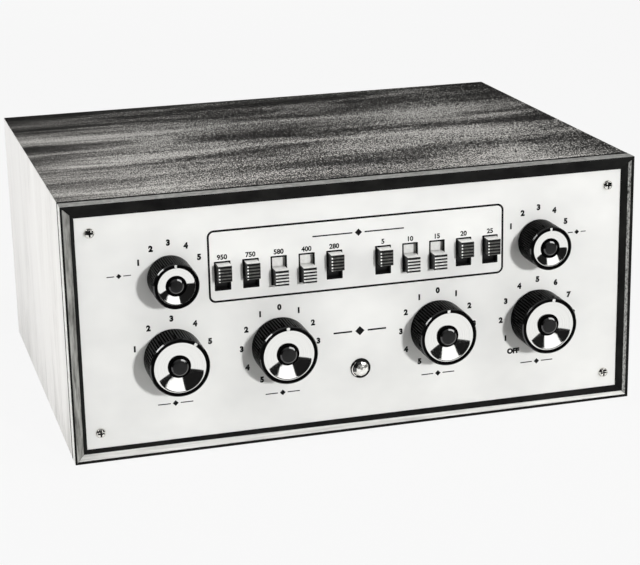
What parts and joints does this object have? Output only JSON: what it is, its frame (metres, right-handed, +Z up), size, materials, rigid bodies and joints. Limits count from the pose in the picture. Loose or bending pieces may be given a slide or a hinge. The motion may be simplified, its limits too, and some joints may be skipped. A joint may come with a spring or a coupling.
{
  "type": "valve preamplifier",
  "caption": "Low boxy preamplifier in a wooden cabinet with a metal front moulding, a pale panel, fluted rotary knobs, slide buttons and a pilot light.",
  "frame": {"origin": "centre of the cabinet's underside", "axes": "+X to the right seen from the front, +Y to the back, +Z up"},
  "size_m": [0.298, 0.2363, 0.132],
  "materials": {
    "wood": "satin lacquered veneer with a fine streaky grain",
    "moulding_metal": "polished metal moulding, black inner fillet",
    "panel_metal": "pale satin enamel",
    "plated_steel": "nickel plate",
    "chassis_steel": "plain plated sheet steel",
    "black_plastic": "moulded black",
    "spun_aluminium": "spun rings",
    "jewel": "clear moulded jewel",
    "valve_glass": "clear",
    "phenolic": "laminate",
    "aluminium_can": "drawn"
  },
  "bodies": {
    "cabinet": {"cabinet_top": "wood", "cabinet_bottom": "wood", "cabinet_left_side": "wood", "cabinet_right_side": "wood", "moulding_top": "moulding_metal", "moulding_bottom": "moulding_metal", "moulding_left": "moulding_metal", "moulding_right": "moulding_metal", "front_panel": "panel_metal", "panel_screws": "plated_steel", "chassis": "chassis_steel", "chassis_screws": "plated_steel", "control_nuts": "plated_steel", "slide_switches": "chassis_steel", "pilot_bezel": "plated_steel", "pilot_jewel": "jewel", "pilot_lamp": "valve_glass", "valve_bracket": "chassis_steel", "valve_sockets": "phenolic", "valves": "valve_glass", "valve_shields": "aluminium_can", "filter_capacitor": "aluminium_can", "tag_board": "phenolic", "coupling_capacitors": "black_plastic", "signal_jacks": "plated_steel", "power_inlet": "phenolic", "bass_control": "plated_steel", "treble_control": "plated_steel", "volume_control": "plated_steel", "low_filter_switch": "phenolic", "selector_switch": "phenolic", "loudness_switch": "phenolic"},
    "low_filter_rotor": {"low_filter_knob": "black_plastic", "low_filter_insert": "spun_aluminium", "low_filter_shaft": "plated_steel"},
    "selector_rotor": {"selector_knob": "black_plastic", "selector_insert": "spun_aluminium", "selector_shaft": "plated_steel"},
    "bass_rotor": {"bass_knob": "black_plastic", "bass_insert": "spun_aluminium", "bass_shaft": "plated_steel"},
    "treble_rotor": {"treble_knob": "black_plastic", "treble_insert": "spun_aluminium", "treble_shaft": "plated_steel"},
    "volume_rotor": {"volume_knob": "black_plastic", "volume_insert": "spun_aluminium", "volume_shaft": "plated_steel"},
    "loudness_rotor": {"loudness_knob": "black_plastic", "loudness_insert": "spun_aluminium", "loudness_shaft": "plated_steel"},
    "button_1": {"slide_button_1": "black_plastic"},
    "button_2": {"slide_button_2": "black_plastic"},
    "button_3": {"slide_button_3": "black_plastic"},
    "button_4": {"slide_button_4": "black_plastic"},
    "button_5": {"slide_button_5": "black_plastic"},
    "button_6": {"slide_button_6": "black_plastic"},
    "button_7": {"slide_button_7": "black_plastic"},
    "button_8": {"slide_button_8": "black_plastic"},
    "button_9": {"slide_button_9": "black_plastic"},
    "button_10": {"slide_button_10": "black_plastic"}
  },
  "joints": [
    {"name": "low_filter_turn", "type": "hinge", "parent": "cabinet", "child": "low_filter_rotor", "pos_m": [-0.097, -0.1, 0.0914], "axis": [0, 1, 0], "range_deg": [-60, 60]},
    {"name": "selector_turn", "type": "hinge", "parent": "cabinet", "child": "selector_rotor", "pos_m": [-0.097, -0.1, 0.05], "axis": [0, 1, 0], "range_deg": [-108, 36]},
    {"name": "bass_turn", "type": "hinge", "parent": "cabinet", "child": "bass_rotor", "pos_m": [-0.042, -0.1, 0.05], "axis": [0, 1, 0], "range_deg": [-150, 150]},
    {"name": "treble_turn", "type": "hinge", "parent": "cabinet", "child": "treble_rotor", "pos_m": [0.042, -0.1, 0.05], "axis": [0, 1, 0], "range_deg": [-150, 150]},
    {"name": "volume_turn", "type": "hinge", "parent": "cabinet", "child": "volume_rotor", "pos_m": [0.097, -0.1, 0.05], "axis": [0, 1, 0], "range_deg": [-159, 141]},
    {"name": "loudness_turn", "type": "hinge", "parent": "cabinet", "child": "loudness_rotor", "pos_m": [0.097, -0.1, 0.0914], "axis": [0, 1, 0], "range_deg": [-60, 60]},
    {"name": "button_1_slide", "type": "slide", "parent": "cabinet", "child": "button_1", "axis": [0, 0, 1], "range_m": [-0.0052, 0]},
    {"name": "button_2_slide", "type": "slide", "parent": "cabinet", "child": "button_2", "axis": [0, 0, 1], "range_m": [-0.0052, 0]},
    {"name": "button_3_slide", "type": "slide", "parent": "cabinet", "child": "button_3", "axis": [0, 0, 1], "range_m": [0, 0.0052]},
    {"name": "button_4_slide", "type": "slide", "parent": "cabinet", "child": "button_4", "axis": [0, 0, 1], "range_m": [0, 0.0052]},
    {"name": "button_5_slide", "type": "slide", "parent": "cabinet", "child": "button_5", "axis": [0, 0, 1], "range_m": [-0.0052, 0]},
    {"name": "button_6_slide", "type": "slide", "parent": "cabinet", "child": "button_6", "axis": [0, 0, 1], "range_m": [-0.0052, 0]},
    {"name": "button_7_slide", "type": "slide", "parent": "cabinet", "child": "button_7", "axis": [0, 0, 1], "range_m": [0, 0.0052]},
    {"name": "button_8_slide", "type": "slide", "parent": "cabinet", "child": "button_8", "axis": [0, 0, 1], "range_m": [0, 0.0052]},
    {"name": "button_9_slide", "type": "slide", "parent": "cabinet", "child": "button_9", "axis": [0, 0, 1], "range_m": [-0.0052, 0]},
    {"name": "button_10_slide", "type": "slide", "parent": "cabinet", "child": "button_10", "axis": [0, 0, 1], "range_m": [-0.0052, 0]}
  ]
}
